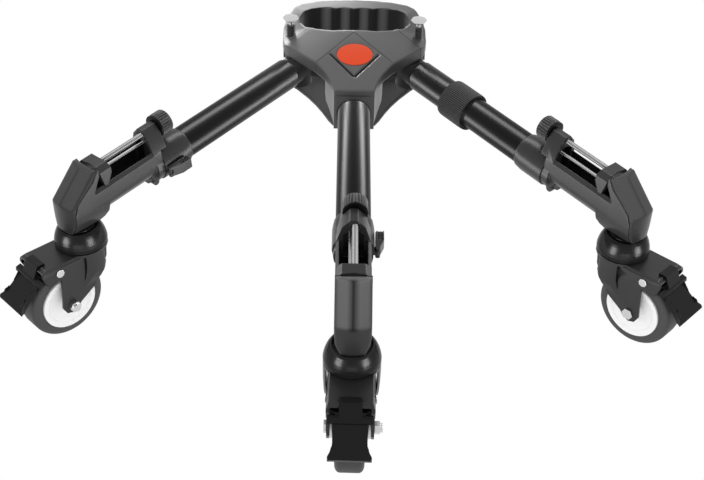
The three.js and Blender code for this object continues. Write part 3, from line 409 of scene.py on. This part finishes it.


# Lines of the hub's cover, in plan: its parting lines and its V groove, darkened as dark joints, and the
# middle of its grip hole, round which the hole's walls are darkened as painted shade

PARTING = (((-0.0014, 0.1931), (-0.0385, 0.1403)), ((-0.0006, 0.1931), (0.0375, 0.1425)),
           ((-0.0480, 0.2080), (-0.0670, 0.1860)), ((0.0460, 0.2030), (0.0680, 0.1720)))
GROOVE = (((0.0, 0.1177), (0.0240, 0.1545)), ((0.0, 0.1177), (-0.0240, 0.1545)))
GRIP_MIDDLE = (((-0.032, 0.222), (0.032, 0.222)),)

Stroke = namedtuple("Stroke", "half_width soft_edge share_left")
PARTING_STROKE = Stroke(0.00026, 0.00030, 0.10)
GROOVE_STROKE = Stroke(0.00080, 0.00030, 0.10)
# painted shade: how far round the grip hole's middle its walls are darkened
GRIP_WALL_SHADE_STROKE = Stroke(0.032, 0.001, 0.20)
# painted shade: a soft dark band down the middle of the front head cover
RIDGE_SHADE_STROKE = Stroke(0.0006, 0.0048, 0.30)
RIDGE_NEAR = 0.0005         # how far from the front leg's middle a vertex of its cover's ridge may lie


def nearest_line(nodes, links, place, lines):
    """The distance from a place to the nearest of some straight lines."""
    nearest = None
    for start, end in lines:
        start, end = Vector(start).to_3d(), Vector(end).to_3d()
        along = end - start
        offset = vector_maths(nodes, links, "SUBTRACT", place, start)
        share = vector_maths(nodes, links, "DOT_PRODUCT", offset, along / along.length_squared)
        clamp = nodes.new("ShaderNodeClamp")
        links.new(share, clamp.inputs["Value"])
        foot = vector_maths(nodes, links, "SCALE", along, clamp.outputs["Result"])
        distance = vector_maths(nodes, links, "DISTANCE", offset, foot)
        nearest = distance if nearest is None else maths(nodes, links, "MINIMUM", nearest, distance)
    return nearest


def darken_along_lines(material, lines, stroke, walls_only=False):
    """Darkens a material's colour and gloss along lines that are given in plan or in space. Along the hub's
    joints this is their dark colour; on the grip hole's walls and along the front cover's ridge it is
    painted shade.
    """
    nodes, links = material.node_tree.nodes, material.node_tree.links
    place = nodes.new("ShaderNodeTexCoord")
    height_counts = 1 if len(lines[0][0]) == 3 else 0
    flattened = vector_maths(nodes, links, "MULTIPLY", place.outputs["Object"], (1, 1, height_counts))
    level = nodes.new("ShaderNodeMapRange")
    level.inputs["From Min"].default_value = stroke.half_width
    level.inputs["From Max"].default_value = stroke.half_width + stroke.soft_edge
    level.inputs["To Min"].default_value = stroke.share_left
    links.new(nearest_line(nodes, links, flattened, lines), level.inputs["Value"])
    shade = level.outputs["Result"]
    # upright walls only: painted shade of the grip hole, which leaves its top faces as they are
    if walls_only:
        normal = nodes.new("ShaderNodeSeparateXYZ")
        links.new(place.outputs["Normal"], normal.inputs["Vector"])
        shade = maths(nodes, links, "MAXIMUM", shade, maths(nodes, links, "ABSOLUTE", normal.outputs["Z"]))
    shader = nodes["Principled BSDF"]
    colour, gloss = shader.inputs["Base Color"], shader.inputs["Specular IOR Level"]
    links.new(colour_mix(nodes, links, 1, feeder(colour), shade, "MULTIPLY"), colour)
    links.new(maths(nodes, links, "MULTIPLY", feeder(gloss), shade), gloss)


def front_ridge():
    """The ridge of the front head cover, from its crest up, along which a band of painted shade is laid."""
    vertices = frame["nodes"]["head_cover_front"].data.vertices
    ridge = [v.co for v in vertices if abs(v.co.x) < RIDGE_NEAR]
    crest, top = min(ridge, key=lambda p: p.y), max(ridge, key=lambda p: p.z)
    return ((tuple(crest), tuple(top)),)


WEAVE_PITCH = 0.0018
WEFT_SHARE = 1.6            # wefts for each rib
WAVE_LENGTH = 2 * math.pi / 20      # of a wave texture with scale 1
WEAVE_DARK, WEAVE_LIGHT = grey(22), grey(120)
WEAVE_WANDER, WEAVE_DETAIL = 0.6, 2
WEAVE_BUMP, WEAVE_DEPTH, WEAVE_SHEEN = 0.8, 0.0003, 0.3


def woven(material):
    """Ribbed webbing: ribs across the band, crossed by a finer weft."""
    nodes, links = material.node_tree.nodes, material.node_tree.links
    shader = nodes["Principled BSDF"]
    place = nodes.new("ShaderNodeTexCoord")
    waves = []
    for direction, share in (("X", 1), ("Y", WEFT_SHARE)):
        wave = nodes.new("ShaderNodeTexWave")
        wave.bands_direction = direction
        wave.inputs["Scale"].default_value = share / WEAVE_PITCH * WAVE_LENGTH
        wave.inputs["Distortion"].default_value = WEAVE_WANDER
        wave.inputs["Detail"].default_value = WEAVE_DETAIL
        links.new(place.outputs["UV"], wave.inputs["Vector"])
        waves.append(wave.outputs["Fac"])
    height = maths(nodes, links, "MULTIPLY", *waves)
    mixed = colour_mix(nodes, links, height, (*WEAVE_DARK, 1), (*WEAVE_LIGHT, 1))
    links.new(mixed, shader.inputs["Base Color"])
    bump = nodes.new("ShaderNodeBump")
    bump.inputs["Strength"].default_value = WEAVE_BUMP
    bump.inputs["Distance"].default_value = WEAVE_DEPTH
    links.new(height, bump.inputs["Height"])
    links.new(bump.outputs["Normal"], shader.inputs["Normal"])
    shader.inputs["Sheen Weight"].default_value = WEAVE_SHEEN
    return material


def make_materials():
    made = {}
    for name, finish in FINISHES.items():
        material = principled(name, finish)
        made[name] = grained(material, finish) if finish.grain else woven(material)
    darken_along_lines(made["hub_scored"], PARTING, PARTING_STROKE)
    darken_along_lines(made["hub_scored"], GROOVE, GROOVE_STROKE)
    # painted shade: the walls of the grip hole are darkened, as shade in a recess
    darken_along_lines(made["hub_scored"], GRIP_MIDDLE, GRIP_WALL_SHADE_STROKE, walls_only=True)
    # painted shade: the front head cover is darkened in a broad band along its ridge
    darken_along_lines(made["cover_plastic"], front_ridge(), RIDGE_SHADE_STROKE)
    return made


# Materials and rounded edges of the frame's own nodes

MATERIAL_OF = {
    "hub_base": "base_plastic", "hub_top": "hub_scored", "badge": "badge_orange",
    # the leg roots' dark finish is painted shade of the hub's recess
    "pull_pin": "steel", "pin_collar": "ring_black", "pivot_bolt": "steel", "leg_root": "root_black",
    "outer_tube": "tube_black", "inner_tube": "tube_black", "collar": "leg_plastic", "lever": "leg_plastic",
    "carrier": "leg_plastic", "head_cover": "cover_plastic", "jaw": "leg_plastic",
    "guide_rod": "rod_steel", "clamp_screw": "rod_steel",
    "swivel_cap": "cap_black", "fork": "fork_black", "axle": "steel", "wheel": "wheel_white",
    "tyre": "tyre_grey", "brake_pin": "steel", "brake_pedal": "pedal_black", "strap": "strap_fabric",
}
EDGE = 0.0007               # radius that moulded and pressed edges get
EDGE_OF = {
    "hub_top": 0.0034, "hub_base": 0.0014, "head_cover": 0.0022, "wheel": 0.0004, "tyre": 0.0006,
    "badge": 0.0003, "clamp_screw": 0.0002, "guide_rod": 0.0002, "pull_pin": 0.0003, "pin_collar": 0.0002,
    "strap": 0.0002,
}
EDGE_SEGMENTS = 3
WELD = 0.00001
FLAT_ANGLE = math.radians(1.5)
EDGE_ANGLE = math.radians(28)
SMOOTH_ANGLE = math.radians(33)


def geometry_group(name):
    """A geometry node group with its input and output nodes."""
    group = bpy.data.node_groups.new(name, "GeometryNodeTree")
    for way in ("INPUT", "OUTPUT"):
        group.interface.new_socket("Geometry", in_out=way, socket_type="NodeSocketGeometry")
    return group, group.nodes.new("NodeGroupInput"), group.nodes.new("NodeGroupOutput")


def clean_group():
    """Welds the imported mesh and drops its stored normals, so that edges can be rounded."""
    group, start, end = geometry_group("clean")
    merge = group.nodes.new("GeometryNodeMergeByDistance")
    merge.inputs["Distance"].default_value = WELD
    drop = group.nodes.new("GeometryNodeRemoveAttribute")
    drop.inputs["Name"].default_value = "custom_normal"
    group.links.new(start.outputs[0], merge.inputs["Geometry"])
    group.links.new(merge.outputs["Geometry"], drop.inputs["Geometry"])
    group.links.new(drop.outputs["Geometry"], end.inputs[0])
    return group


def smooth_group():
    """Shades smooth, with sharp edges above an angle."""
    group, start, end = geometry_group("smooth")
    faces = group.nodes.new("GeometryNodeSetShadeSmooth")
    faces.domain = "FACE"
    faces.inputs["Shade Smooth"].default_value = True
    edges = group.nodes.new("GeometryNodeSetShadeSmooth")
    edges.domain = "EDGE"
    edges.inputs["Shade Smooth"].default_value = False
    bend = group.nodes.new("GeometryNodeInputMeshEdgeAngle")
    sharp = group.nodes.new("FunctionNodeCompare")
    sharp.operation = "GREATER_THAN"
    sharp.inputs["B"].default_value = SMOOTH_ANGLE
    group.links.new(bend.outputs["Unsigned Angle"], sharp.inputs["A"])
    group.links.new(start.outputs[0], faces.inputs["Geometry"])
    group.links.new(faces.outputs["Geometry"], edges.inputs["Geometry"])
    group.links.new(sharp.outputs["Result"], edges.inputs["Selection"])
    group.links.new(edges.outputs["Geometry"], end.inputs[0])
    return group


CLEAN = clean_group()
SMOOTH = smooth_group()


def round_edges(piece, radius):
    piece.modifiers.new("clean", "NODES").node_group = CLEAN
    flat = piece.modifiers.new("flat", "DECIMATE")
    flat.decimate_type = "DISSOLVE"
    flat.angle_limit = FLAT_ANGLE
    bevel = piece.modifiers.new("edges", "BEVEL")
    bevel.width = radius
    bevel.segments = EDGE_SEGMENTS
    bevel.limit_method = "ANGLE"
    bevel.angle_limit = EDGE_ANGLE
    bevel.miter_outer = "MITER_ARC"
    piece.modifiers.new("smooth", "NODES").node_group = SMOOTH
    normals = piece.modifiers.new("normals", "WEIGHTED_NORMAL")
    normals.keep_sharp = True


def dress(materials):
    for name, node in frame["nodes"].items():
        kind = family(name)
        node.data.materials.clear()
        node.data.materials.append(materials[MATERIAL_OF[kind]])
        round_edges(node, EDGE_OF.get(kind, EDGE))


# Places that follow the frame's joints

NEARLY_PARALLEL = 0.99


def body_of(node):
    bodies = frame["record"]["behaviour"]["bodies"]
    return next(name for name, members in bodies.items() if node in members)


def place_on(origin, axis, side=UP):
    """A matrix at origin with Z along axis, and X near side."""
    z = Vector(axis).normalized()
    hint = Vector(side)
    if abs(z.dot(hint.normalized())) > NEARLY_PARALLEL:
        hint = Vector((1, 0, 0))
    x = (hint - z * hint.dot(z)).normalized()
    return Matrix.Translation(Vector(origin)) @ Matrix((x, z.cross(x), z)).transposed().to_4x4()


def reach_along(node, origin, axis):
    """The lowest and highest distance of a node's vertices along an axis from origin."""
    along = Vector(axis).normalized()
    values = [(v.co - Vector(origin)).dot(along) for v in frame["nodes"][node].data.vertices]
    return min(values), max(values)


def joint_place(name):
    """The place of a joint, with Z along its axis."""
    return place_on(JOINTS[name]["pos_m"], JOINTS[name]["axis"])


def swivel_place(leg):
    """The foot of a caster's swivel axis on the floor."""
    x, y, _ = JOINTS[f"swivel_{leg}"]["pos_m"]
    return place_on((x, y, 0), UP, JOINTS[f"roll_{leg}"]["axis"])


# Fine pieces

ROUND_STEPS = 96
BUSH_STEPS = 64
CENTRE_R = 0.00001          # radius of a profile's points on the axis


def make_piece(name, shape, matrix, material, node, instead=True):
    """A new piece that rides with a CAD node and, where it says instead, is shown in the node's place."""
    vertices, faces = shape
    mesh = bpy.data.meshes.new(name)
    mesh.from_pydata([matrix @ Vector(v) for v in vertices], [], faces)
    mesh.materials.append(material)
    piece = bpy.data.objects.new(name, mesh)
    bpy.context.scene.collection.objects.link(piece)
    piece.modifiers.new("smooth", "NODES").node_group = SMOOTH
    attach(piece, body_of(node))
    if instead:
        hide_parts(node)
    return piece


def turned(profile, steps=ROUND_STEPS):
    """Vertices and faces of a closed profile of (radius, height) turned about Z."""
    vertices, faces = [], []
    count = len(profile)
    for step in range(steps):
        angle = 2 * math.pi * step / steps
        vertices += [(r * math.cos(angle), r * math.sin(angle), z) for r, z in profile]
    for step in range(steps):
        here, there = step * count, (step + 1) % steps * count
        for i in range(count):
            j = (i + 1) % count
            faces.append((here + i, there + i, there + j, here + j))
    return vertices, faces


def rounded(profile, radius, steps):
    """A closed profile with its corners rounded, each by at most a third of its shorter side."""
    points = []
    count = len(profile)
    for i in range(count):
        before, here, after = (Vector(profile[k % count]) for k in (i - 1, i, i + 1))
        to_before, to_after = before - here, after - here
        cut = min(radius, to_before.length / 3, to_after.length / 3)
        start, end = here + to_before.normalized() * cut, here + to_after.normalized() * cut
        for k in range(steps + 1):
            share = k / steps
            point = start * (1 - share) ** 2 + here * 2 * share * (1 - share) + end * share ** 2
            points.append(tuple(point))
    return points


def ring_profile(inner, outer, low, high):
    """The square profile of a ring."""
    return [(inner, low), (outer, low), (outer, high), (inner, high)]


TYRE_OUT, TYRE_IN, TYRE_HALF = 0.0375, 0.0277, 0.0125
SHOULDER_WIDTH, SHOULDER_FALL = 0.0048, 0.00648
SHOULDER_STEPS = 10


def make_tyre(leg, material):
    profile = [(TYRE_IN, -TYRE_HALF)]
    for side in (-1, 1):
        for k in range(SHOULDER_STEPS + 1):
            share = k / SHOULDER_STEPS
            angle = math.pi / 2 * (share if side < 0 else 1 - share)
            radius = TYRE_OUT - SHOULDER_FALL * (1 - math.sin(angle))
            profile.append((radius, side * (TYRE_HALF - SHOULDER_WIDTH * (1 - math.cos(angle)))))
    profile.append((TYRE_IN, TYRE_HALF))
    make_piece(f"tyre_fine_{leg}", turned(profile), joint_place(f"roll_{leg}"), material, f"tyre_{leg}")


RIM_R, RIM_HALF = 0.0274, 0.0142
RECESS_R, RECESS_DEPTH = 0.0224, 0.0012
STEP_R, STEP_DEPTH = 0.0160, 0.0005
BOSS_R, BOSS_HALF, AXLE_R = 0.0095, 0.0170, 0.0041
WHEEL_ROUND, WHEEL_ROUND_STEPS = 0.0005, 3


def make_wheel(leg, material):
    recess = RIM_HALF - RECESS_DEPTH
    half = [(RIM_R, RIM_HALF), (RECESS_R, RIM_HALF), (RECESS_R - RECESS_DEPTH, recess),
            (STEP_R, recess - STEP_DEPTH), (BOSS_R, recess - STEP_DEPTH), (BOSS_R, BOSS_HALF),
            (AXLE_R, BOSS_HALF)]
    profile = rounded(half + [(r, -z) for r, z in reversed(half)], WHEEL_ROUND, WHEEL_ROUND_STEPS)
    make_piece(f"wheel_fine_{leg}", turned(profile), joint_place(f"roll_{leg}"), material, f"wheel_{leg}")


CAP_PROFILE = (             # the king pin, the dome and its rolled lip: radius, height above the floor
    (CENTRE_R, 0.126), (CENTRE_R, 0.080), (0.009, 0.080), (0.009, 0.0836), (0.006, 0.0836), (0.006, 0.0867),
    (0.0232, 0.0867), (0.0243, 0.0884), (0.0243, 0.0915), (0.0237, 0.0948), (0.0227, 0.0982),
    (0.0214, 0.1012), (0.0199, 0.1038), (0.0184, 0.1053), (0.0172, 0.1058), (0.0166, 0.1052),
    (0.0163, 0.1034), (0.0142, 0.1034), (0.0140, 0.1061), (0.006, 0.1061), (0.006, 0.126),
)
CAP_ROUND, CAP_ROUND_STEPS = 0.0006, 3


def make_cap(leg, material):
    profile = rounded(CAP_PROFILE, CAP_ROUND, CAP_ROUND_STEPS)
    make_piece(f"cap_fine_{leg}", turned(profile), swivel_place(leg), material, f"swivel_cap_{leg}")


TUBE_R, TUBE_BORE = 0.0158, 0.0140
TUBE_ROUND, TUBE_ROUND_STEPS = 0.0004, 2


def make_tube(leg, material):
    node = f"outer_tube_{leg}"
    axis = JOINTS[f"extend_{leg}"]["axis"]
    ends = reach_along(node, middle(node), axis)
    profile = rounded(ring_profile(TUBE_BORE, TUBE_R, *ends), TUBE_ROUND, TUBE_ROUND_STEPS)
    matrix = place_on(middle(node), axis)
    make_piece(f"tube_fine_{leg}", turned(profile), matrix, material, node)


# The clamp screw: threaded rod, ribbed knob and rubber washer, and the bush ring in the tower's face

SCREW_R, SCREW_PITCH, THREAD_DEPTH = 0.0027, 0.0015, 0.0006
TURN_STEPS = 20
PITCH_STEPS = 6
KNOB_R, KNOB_LENGTH = 0.0114, 0.0126
KNOB_RIBS, RIB_DEPTH, STEPS_PER_RIB = 28, 0.0011, 8
KNOB_FOOT = ((0, 0.0012, 0), (0.0003, 0.0005, 0.3), (0.0012, 0, 1))     # height, inset, share of the ribs
KNOB_TOP = ((0.0016, 0, 1), (0.0005, 0.0006, 0.4), (0, 0.0016, 0))      # depth, inset, share of the ribs
DISH_EDGE_SHARE, DISH_EDGE_DEPTH, DISH_DEPTH = 0.62, 0.0006, 0.0008
WASHER_R, WASHER_LENGTH, WASHER_ROUND = 0.0112, 0.0024, 0.0005
FACE_GAP = 0.0003
TOWER_DEPTH = 0.0162
BUSH_R, BUSH_WALL, BUSH_RISE, BUSH_ROUND = 0.0052, 0.0010, 0.0007, 0.0003
RING_ROUND_STEPS = 2
THIN = 0.00002


def joined_rings(count, steps):
    """The faces between rings of vertices that follow each other."""
    faces = []
    for ring in range(count - 1):
        for step in range(steps):
            a, b = ring * steps + step, ring * steps + (step + 1) % steps
            faces.append((a, b, b + steps, a + steps))
    return faces


def capped_rings(count, steps):
    """The faces between rings of vertices, and those that close the first and last ring."""
    first = tuple(reversed(range(steps)))
    last = tuple((count - 1) * steps + k for k in range(steps))
    return joined_rings(count, steps) + [first, last]


def threaded(low, high):
    """A rod along Z with a helical thread."""
    rings = int((high - low) / SCREW_PITCH * PITCH_STEPS)
    vertices = []
    for ring in range(rings + 1):
        z = low + (high - low) * ring / rings
        for step in range(TURN_STEPS):
            angle = 2 * math.pi * step / TURN_STEPS
            phase = (z / SCREW_PITCH - step / TURN_STEPS) % 1
            r = SCREW_R - THREAD_DEPTH * abs(2 * phase - 1)
            vertices.append((r * math.cos(angle), r * math.sin(angle), z))
    return vertices, capped_rings(rings + 1, TURN_STEPS)


def ribbed(low, high):
    """A knob along Z: ribbed round its side, with a soft edge and a shallow dished end."""
    steps = KNOB_RIBS * STEPS_PER_RIB
    rows = [(low, 0, 0)]
    rows += [(low + height, KNOB_R - inset, share) for height, inset, share in KNOB_FOOT]
    rows += [(high - depth, KNOB_R - inset, share) for depth, inset, share in KNOB_TOP]
    rows += [(high - DISH_EDGE_DEPTH, KNOB_R * DISH_EDGE_SHARE, 0), (high - DISH_DEPTH, 0, 0)]
    vertices = []
    for z, r, share in rows:
        for step in range(steps):
            angle = 2 * math.pi * step / steps
            valley = 0.5 + 0.5 * math.cos(2 * math.pi * (step % STEPS_PER_RIB) / STEPS_PER_RIB)
            here = max(r - RIB_DEPTH * share * valley, CENTRE_R)
            vertices.append((here * math.cos(angle), here * math.sin(angle), z))
    return vertices, joined_rings(len(rows), steps)


def make_screw(leg, steel, plastic, rubber):
    node = f"clamp_screw_{leg}"
    matrix = joint_place(f"screw_turn_{leg}")
    low, high = reach_along(node, matrix.translation, JOINTS[f"screw_turn_{leg}"]["axis"])
    foot = high - KNOB_LENGTH
    face = foot - WASHER_LENGTH
    washer = rounded(ring_profile(SCREW_R, WASHER_R, face, foot - FACE_GAP), WASHER_ROUND, RING_ROUND_STEPS)
    tower = face - FACE_GAP - TOWER_DEPTH
    bush = rounded(ring_profile(BUSH_R - BUSH_WALL, BUSH_R, tower - BUSH_RISE, tower - THIN), BUSH_ROUND,
                   RING_ROUND_STEPS)
    rod = threaded(low, foot - WASHER_LENGTH / 2)
    make_piece(f"screw_rod_{leg}", rod, matrix, steel, node)
    make_piece(f"screw_knob_{leg}", ribbed(foot, high), matrix, plastic, node)
    make_piece(f"screw_washer_{leg}", turned(washer), matrix, rubber, node)
    make_piece(f"screw_bush_{leg}", turned(bush, BUSH_STEPS), matrix, plastic, f"carrier_{leg}",
               instead=False)


# The strap: a band of ribbed webbing, wound round the tube, each turn resting on the one below

STRAP_THICK, STRAP_LOOSE = 0.0012, 0.0003
STRAP_TURNS = 2.15
STRAP_START = math.radians(200)
TURN_OF_STRAP_STEPS = 72
STRAP_ROWS = 16
THIN_EDGE_SHARE, THIN_EDGE_POWER = 0.7, 12      # how much, and how close to its edge, the band gets thinner
BOW, BOW_AT, BOW_POWER = 0.0009, math.radians(250), 3       # the outer turn stands off the inner one here
SWAY, SWAY_START = 0.0005, 0.8


def strap_radius(turns):
    return TUBE_R + STRAP_LOOSE + STRAP_THICK / 2 + (STRAP_THICK + STRAP_LOOSE) * turns


def strap_outline(width):
    """The band's cross-section, as places across its width and heights from its middle."""
    upper = []
    for k in range(STRAP_ROWS + 1):
        share = 2 * k / STRAP_ROWS - 1
        height = STRAP_THICK / 2 * (1 - THIN_EDGE_SHARE * abs(share) ** THIN_EDGE_POWER)
        upper.append((share * width / 2, height))
    return upper + [(w, -h) for w, h in reversed(upper)]


def make_strap(material):
    axis = JOINTS["extend_right"]["axis"]
    matrix = place_on(middle("outer_tube_right"), axis)
    centre = middle("strap")
    low, high = reach_along("strap", centre, axis)
    width = high - low
    along_tube = (matrix.inverted() @ centre).z
    outline = strap_outline(width)
    steps = int(STRAP_TURNS * TURN_OF_STRAP_STEPS)
    vertices, radii = [], []
    for step in range(steps + 1):
        turns = step / TURN_OF_STRAP_STEPS
        angle = STRAP_START + 2 * math.pi * turns
        nearness = (0.5 + 0.5 * math.cos(angle - BOW_AT)) ** BOW_POWER
        radius = strap_radius(turns) + BOW * max(turns - 1, 0) * nearness
        shift = along_tube + SWAY * math.sin(angle / 2 + SWAY_START)
        for w, h in outline:
            vertices.append(((radius + h) * math.cos(angle), (radius + h) * math.sin(angle), w + shift))
        radii.append(radius)
    count = len(outline)
    piece = make_piece("strap_fine", (vertices, capped_rings(steps + 1, count)), matrix, material, "strap")
    layer = piece.data.uv_layers.new(name="UVMap")
    step_length = 2 * math.pi * strap_radius(STRAP_TURNS / 2) / TURN_OF_STRAP_STEPS
    for loop in piece.data.loops:
        step, i = divmod(loop.vertex_index, count)
        layer.data[loop.index].uv = (step * step_length, outline[i][0])


# Low ribs that stand along the rear edge of the lower plate, beside the pivots of the side legs

RIB_PLAN = ((0.0455, 0.2032), (0.0420, 0.2020), (0.0380, 0.2002), (0.0340, 0.1986), (0.0290, 0.1972))
RIB_THICK, RIB_RISE = 0.0014, 0.0098
RIB_FOOT = 0.1294           # the top of the lower plate


def make_rib(side, material):
    sign = -1 if side == "left" else 1
    section = ((0, 0), (0, RIB_RISE), (-RIB_THICK, RIB_RISE), (-RIB_THICK, 0))
    vertices = [(sign * x, y + dy, RIB_FOOT + dz) for x, y in RIB_PLAN for dy, dz in section]
    faces = capped_rings(len(RIB_PLAN), len(section))
    if sign < 0:
        faces = [tuple(reversed(face)) for face in faces]
    make_piece(f"hub_rib_{side}", (vertices, faces), Matrix.Identity(4), material, "hub_base",
               instead=False)


BADGE_R = 0.018
BADGE_EDGE = ((0, 0.0004), (0.0002, 0.0001), (0.0006, 0))       # inset, depth
BADGE_CROWN = 0.0001


def make_badge(material):
    face = max(frame["nodes"]["badge"].data.polygons, key=lambda p: p.area)
    normal = face.normal if face.normal.z > 0 else -face.normal
    centre = middle("badge")
    low, high = reach_along("badge", centre, normal)
    profile = [(CENTRE_R, low), (BADGE_R, low)]
    profile += [(BADGE_R - inset, high - depth) for inset, depth in BADGE_EDGE]
    profile.append((CENTRE_R, high + BADGE_CROWN))
    make_piece("badge_fine", turned(profile), place_on(centre, normal), material, "badge")


make_camera()
make_world()
make_floor()
bpy.context.scene.view_settings.view_transform = "Standard"
materials = make_materials()
dress(materials)
for leg in LEGS:
    make_tyre(leg, materials["tyre_grey"])
    make_wheel(leg, materials["wheel_white"])
    make_cap(leg, materials["cap_black"])
    make_tube(leg, materials["tube_black"])
    make_screw(leg, materials["rod_steel"], materials["leg_plastic"], materials["cap_black"])
make_badge(materials["badge_orange"])
make_strap(materials["strap_fabric"])
for side in SIDES:
    make_rib(side, materials["base_plastic"])
light_hub()
for leg in LEGS:
    light_leg(leg)
    light_caster(leg)
